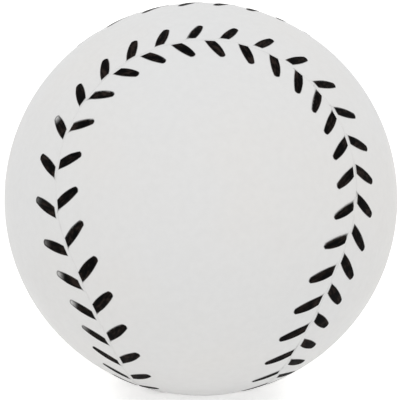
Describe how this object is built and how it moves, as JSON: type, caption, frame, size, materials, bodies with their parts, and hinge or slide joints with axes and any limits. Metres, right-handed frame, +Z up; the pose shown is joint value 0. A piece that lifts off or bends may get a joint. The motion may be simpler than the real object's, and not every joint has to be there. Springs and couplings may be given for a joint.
{
  "type": "bouncy ball",
  "caption": "Hollow white rubber play ball styled as a baseball, with a winding seam groove and black V-shaped stitch marks.",
  "frame": {"origin": "centre of the ball", "axes": "+Z up, normal to the plane where the two half shells meet, and the axis about which the seam repeats after half a turn; -Y towards the front lobe of the seam, +X to the right of it"},
  "size_m": [0.0635, 0.0634, 0.0636],
  "materials": {
    "white_rubber": "satin white moulded rubber",
    "rubber_cement": "dried tan cement",
    "stitch_ink": "satin black rubber ink"
  },
  "bodies": {
    "root": {"upper_shell": "white_rubber", "lower_shell": "white_rubber", "bond_ring": "rubber_cement", "front_inner_stitches": "stitch_ink", "front_outer_stitches": "stitch_ink", "right_inner_stitches": "stitch_ink", "right_outer_stitches": "stitch_ink", "back_inner_stitches": "stitch_ink", "back_outer_stitches": "stitch_ink", "left_inner_stitches": "stitch_ink", "left_outer_stitches": "stitch_ink"}
  },
  "joints": []
}
